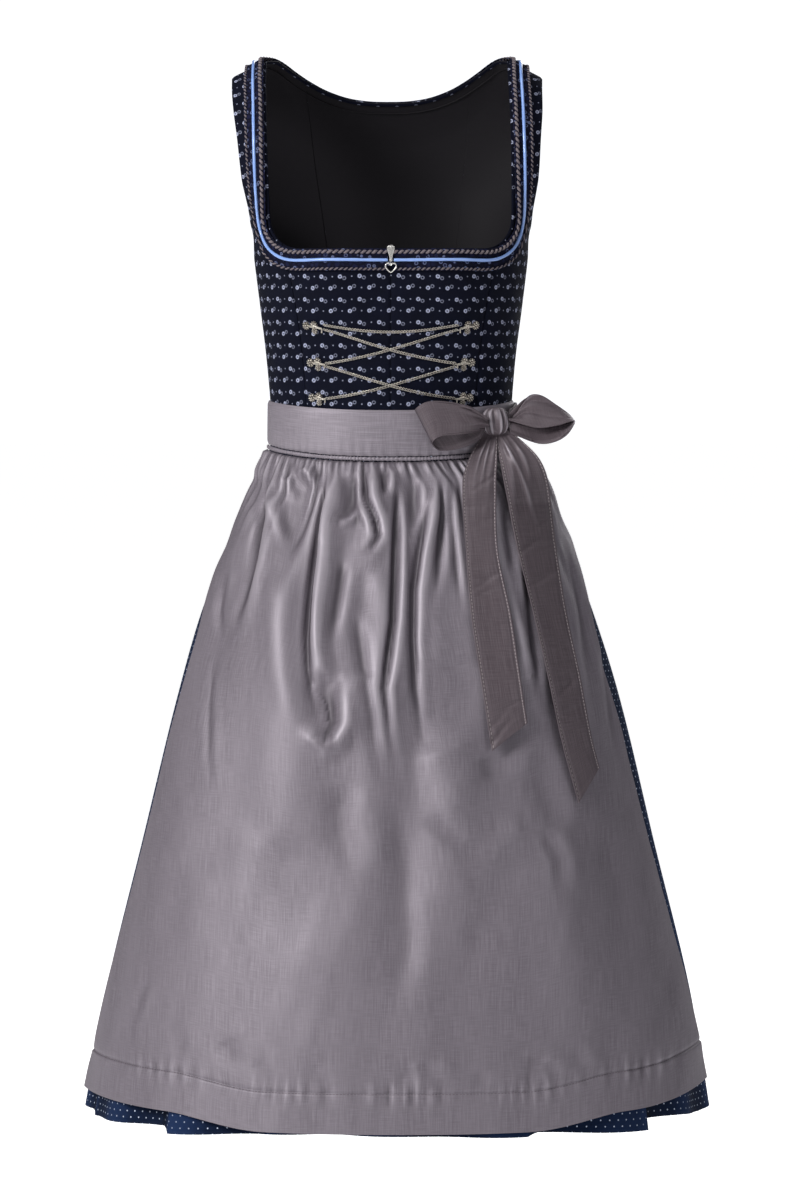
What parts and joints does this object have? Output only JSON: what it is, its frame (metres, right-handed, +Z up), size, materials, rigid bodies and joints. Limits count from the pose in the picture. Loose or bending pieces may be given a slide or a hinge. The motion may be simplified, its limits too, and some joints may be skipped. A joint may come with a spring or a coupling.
{
  "type": "dirndl dress with apron",
  "caption": "Hollow, worn-form dirndl: printed bodice with square neckline trims, laced chain front, pleated dotted skirt, gathered satin apron tied in a side bow.",
  "frame": {"origin": "midway between the tops of the two shoulder straps, where the wearer's shoulders hold the dress", "axes": "+Z up; the front of the dress faces -Y; +X is the wearer's left"},
  "size_m": [0.6283, 0.5602, 1.0565],
  "materials": {
    "print_cotton": "matte cotton, small light motifs on near-black navy",
    "lining": "plain black lining",
    "trim_band": "ruched navy band with small light loops",
    "braid": "twisted grey-brown cord",
    "piping": "light-blue satin piping",
    "silver_metal": "antique silver, worn bright on the edges",
    "dotted_cotton": "navy cotton with white pin dots",
    "satin_taffeta": "taupe-grey satin with a soft sheen"
  },
  "bodies": {
    "dress": {"bodice_front_right": "print_cotton", "bodice_front_left": "print_cotton", "bodice_side_front_right": "print_cotton", "bodice_side_front_left": "print_cotton", "bodice_side_back_right": "print_cotton", "bodice_side_back_left": "print_cotton", "bodice_back": "print_cotton", "lining_back": "lining", "lining_side_back_right": "lining", "lining_side_back_left": "lining", "trim_band": "trim_band", "trim_inner_braid": "braid", "trim_outer_braid": "braid", "trim_piping": "piping", "hook_upper_right": "silver_metal", "hook_upper_left": "silver_metal", "hook_middle_right": "silver_metal", "hook_middle_left": "silver_metal", "hook_lower_right": "silver_metal", "hook_lower_left": "silver_metal", "chain_top": "silver_metal", "chain_upper_falling": "silver_metal", "chain_upper_rising": "silver_metal", "chain_lower_falling": "silver_metal", "chain_lower_rising": "silver_metal", "zip_slider": "silver_metal", "skirt_front": "dotted_cotton", "skirt_back_left": "dotted_cotton", "skirt_back_right": "dotted_cotton", "apron_skirt": "satin_taffeta", "apron_hem": "satin_taffeta", "apron_waistband": "satin_taffeta", "apron_gather_cord": "satin_taffeta", "waist_tie": "satin_taffeta", "bow_knot": "satin_taffeta", "bow_loop_right": "satin_taffeta", "bow_loop_left": "satin_taffeta", "bow_tail_right": "satin_taffeta", "bow_tail_left": "satin_taffeta"},
    "pull": {"zip_pull": "silver_metal"},
    "heart": {"heart_charm": "silver_metal"}
  },
  "joints": [
    {"name": "pull_swing", "type": "hinge", "parent": "dress", "child": "pull", "pos_m": [0, -0.12047, -0.19], "axis": [-1, 0, 0], "range_deg": [0, 120]},
    {"name": "heart_swing", "type": "hinge", "parent": "pull", "child": "heart", "pos_m": [0, -0.12047, -0.2036], "axis": [-1, 0, 0], "range_deg": [0, 90]}
  ]
}
